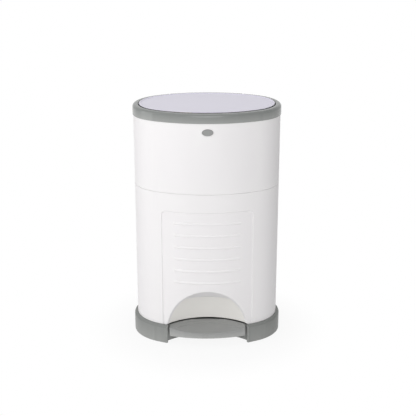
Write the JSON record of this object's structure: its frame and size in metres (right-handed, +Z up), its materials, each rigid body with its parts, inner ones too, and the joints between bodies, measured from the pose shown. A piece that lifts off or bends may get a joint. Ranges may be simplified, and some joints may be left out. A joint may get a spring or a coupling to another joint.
{
  "type": "nappy bin",
  "caption": "Tall oval pedal bin for nappies: a hinged lid over a chute with sprung trap doors, on a section that tilts back to reach the refill cassette.",
  "frame": {"origin": "on the floor under the middle of the base", "axes": "+Z up, -Y towards the front with the pedal, +X to the right as seen from the front"},
  "size_m": [0.3796, 0.2649, 0.6044],
  "materials": {
    "base_skirt": "smooth satin grey",
    "floor_pan": "matt grey",
    "rubber_feet": "matt black",
    "base_screws": "zinc",
    "bag_floor": "matt white",
    "lower_shell": "glossy white",
    "kick_recess": "satin warm grey",
    "pedal_plate": "satin grey",
    "pedal_lever": "pressed steel",
    "pivot_bushes": "natural",
    "pivot_pin": "ground",
    "pedal_screws": "zinc",
    "lower_push_rod": "drawn",
    "rod_clip": "spring steel",
    "rod_spring": "spring steel",
    "rod_guides": "natural",
    "guide_screws": "zinc",
    "cassette_shelf": "matt white",
    "shelf_screws": "zinc",
    "cassette_tray": "pale blue",
    "cassette_cap": "pale blue",
    "film_pack": "folded film",
    "cutter_housing": "matt grey",
    "cutter_blade": "ground",
    "upper_shell": "glossy white",
    "tilt_pin": "ground",
    "collar_ring": "satin grey",
    "chute": "matt white",
    "chute_screws": "zinc",
    "trap_pins": "ground",
    "trap_door_front": "matt grey",
    "trap_door_rear": "matt grey",
    "trap_seal_front": "soft",
    "trap_seal_rear": "soft",
    "trap_spring_front": "spring steel",
    "trap_spring_rear": "spring steel",
    "upper_push_rod": "natural",
    "upper_rod_guide": "natural",
    "upper_guide_screws": "zinc",
    "lid_panel": "glossy white",
    "lid_liner": "matt white",
    "lid_screws": "zinc",
    "lid_seal": "soft",
    "lid_pin": "ground",
    "release_button": "satin grey",
    "latch_bracket": "matt white",
    "latch_screws": "zinc",
    "latch_pin": "ground",
    "latch_lever": "matt grey",
    "latch_spring": "spring steel"
  },
  "bodies": {
    "base": {"base_skirt": "base_skirt", "floor_pan": "floor_pan", "rubber_feet": "rubber_feet", "base_screws": "base_screws", "bag_floor": "bag_floor", "lower_shell": "lower_shell", "kick_recess": "kick_recess", "pivot_pin": "pivot_pin", "rod_guides": "rod_guides", "guide_screws": "guide_screws", "rod_spring": "rod_spring", "cassette_shelf": "cassette_shelf", "shelf_screws": "shelf_screws", "cassette_tray": "cassette_tray", "cassette_cap": "cassette_cap", "film_pack": "film_pack", "cutter_housing": "cutter_housing", "cutter_blade": "cutter_blade", "tilt_pin": "tilt_pin"},
    "pedal": {"pedal_plate": "pedal_plate", "pedal_lever": "pedal_lever", "pivot_bushes": "pivot_bushes", "pedal_screws": "pedal_screws"},
    "lower_rod": {"lower_push_rod": "lower_push_rod", "rod_clip": "rod_clip"},
    "upper": {"upper_shell": "upper_shell", "collar_ring": "collar_ring", "chute": "chute", "chute_screws": "chute_screws", "trap_pins": "trap_pins", "trap_spring_front": "trap_spring_front", "trap_spring_rear": "trap_spring_rear", "lid_pin": "lid_pin", "upper_rod_guide": "upper_rod_guide", "upper_guide_screws": "upper_guide_screws", "latch_bracket": "latch_bracket", "latch_screws": "latch_screws", "latch_pin": "latch_pin", "latch_spring": "latch_spring"},
    "upper_rod": {"upper_push_rod": "upper_push_rod"},
    "lid": {"lid_panel": "lid_panel", "lid_liner": "lid_liner", "lid_seal": "lid_seal", "lid_screws": "lid_screws"},
    "trap_front": {"trap_door_front": "trap_door_front", "trap_seal_front": "trap_seal_front"},
    "trap_rear": {"trap_door_rear": "trap_door_rear", "trap_seal_rear": "trap_seal_rear"},
    "button": {"release_button": "release_button"},
    "latch": {"latch_lever": "latch_lever"}
  },
  "joints": [
    {"name": "pedal_hinge", "type": "hinge", "parent": "base", "child": "pedal", "pos_m": [0, 0.01, 0.026], "axis": [1, 0, 0], "range_deg": [0, 6.5]},
    {"name": "lower_rod_slide", "type": "slide", "parent": "base", "child": "lower_rod", "axis": [0, 0, 1], "range_m": [0, 0.0107], "stiffness_N_per_m": 200, "springref_m": -0.01, "deforming": ["rod_spring"]},
    {"name": "section_tilt", "type": "hinge", "parent": "base", "child": "upper", "pos_m": [0, 0.1265, 0.3989], "axis": [-1, 0, 0], "range_deg": [0, 80]},
    {"name": "upper_rod_slide", "type": "slide", "parent": "upper", "child": "upper_rod", "axis": [0, 0, 1], "range_m": [0, 0.0107]},
    {"name": "lid_hinge", "type": "hinge", "parent": "upper", "child": "lid", "pos_m": [0, 0.098, 0.597], "axis": [-1, 0, 0], "range_deg": [0, 75]},
    {"name": "trap_front_hinge", "type": "hinge", "parent": "upper", "child": "trap_front", "pos_m": [0, -0.062, 0.4654], "axis": [-1, 0, 0], "range_deg": [0, 80], "stiffness_Nm_per_rad": 0.1, "springref_deg": -57.3, "deforming": ["trap_spring_front"]},
    {"name": "trap_rear_hinge", "type": "hinge", "parent": "upper", "child": "trap_rear", "pos_m": [0, 0.062, 0.4654], "axis": [1, 0, 0], "range_deg": [0, 80], "stiffness_Nm_per_rad": 0.1, "springref_deg": -57.3, "deforming": ["trap_spring_rear"]},
    {"name": "latch_button_slide", "type": "slide", "parent": "upper", "child": "button", "axis": [0, 1, 0], "range_m": [0, 0.003], "stiffness_N_per_m": 800, "springref_m": -0.002},
    {"name": "latch_lever_hinge", "type": "hinge", "parent": "upper", "child": "latch", "pos_m": [0, -0.11, 0.481], "axis": [-1, 0, 0], "range_deg": [0, 2.5], "deforming": ["latch_spring"]}
  ],
  "couplings": [
    {"joint": "pedal_hinge", "follows": "lid_hinge", "ratio": 0.0866},
    {"joint": "lower_rod_slide", "follows": "lid_hinge", "m_per_rad": 0.00814},
    {"joint": "upper_rod_slide", "follows": "lid_hinge", "m_per_rad": 0.00814},
    {"joint": "latch_lever_hinge", "follows": "latch_button_slide", "rad_per_m": 13.889}
  ]
}
